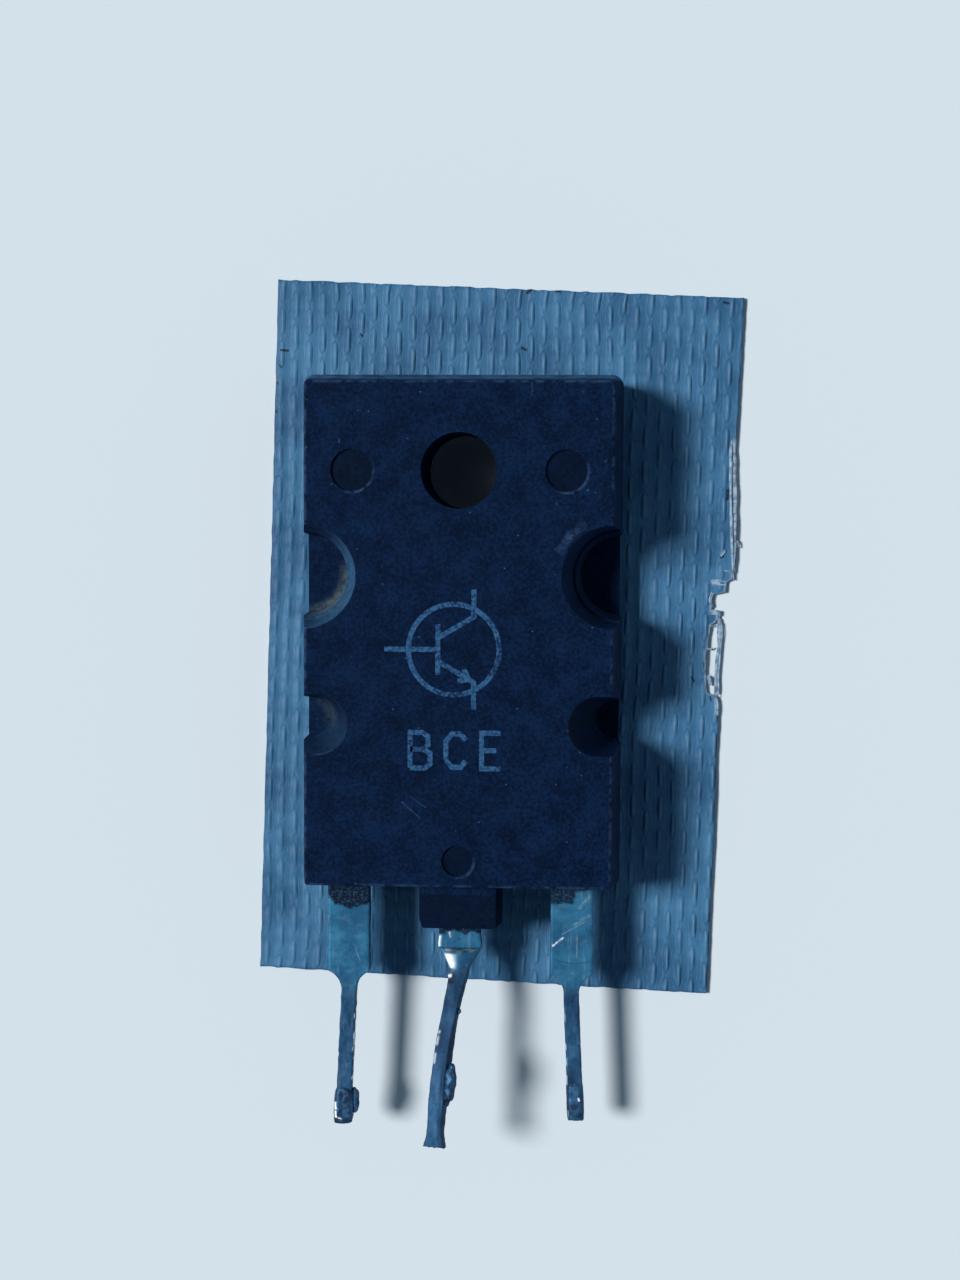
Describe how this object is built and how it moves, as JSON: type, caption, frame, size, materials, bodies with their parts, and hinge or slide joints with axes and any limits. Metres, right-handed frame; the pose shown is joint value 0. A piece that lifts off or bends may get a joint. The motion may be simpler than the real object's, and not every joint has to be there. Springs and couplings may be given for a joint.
{
  "type": "horizontal output transistor",
  "caption": "Power transistor in a drafted black moulded package with a screw hole, side notches and flat leads, salvaged with solder remains and its woven insulating pad.",
  "frame": {"origin": "on the screw-hole axis, at the back of the insulating pad, which is the plane that meets the heat sink", "axes": "+Z out of the marked front face, +Y towards the screw-hole end so that the leads leave towards -Y, +X to the right seen from the front"},
  "size_m": [0.0241, 0.0422, 0.0059],
  "materials": {
    "moulding_resin": "matte black moulded epoxy with a fine grain",
    "lead_metal": "dull tinned metal, stained near the body",
    "solder": "lumpy tin-lead solder",
    "silicon": "polished silicon",
    "bond_wire": "plain aluminium wire",
    "pad_cloth": "grey silicone-coated glass-fibre cloth"
  },
  "bodies": {
    "root": {"moulded_body": "moulding_resin", "base_lead": "lead_metal", "collector_frame": "lead_metal", "emitter_lead": "lead_metal", "base_lead_solder": "solder", "collector_lead_solder": "solder", "emitter_lead_solder": "solder", "die_solder": "solder", "transistor_die": "silicon", "base_wire": "bond_wire", "emitter_wire_left": "bond_wire", "emitter_wire_right": "bond_wire", "insulating_pad": "pad_cloth"}
  },
  "joints": []
}
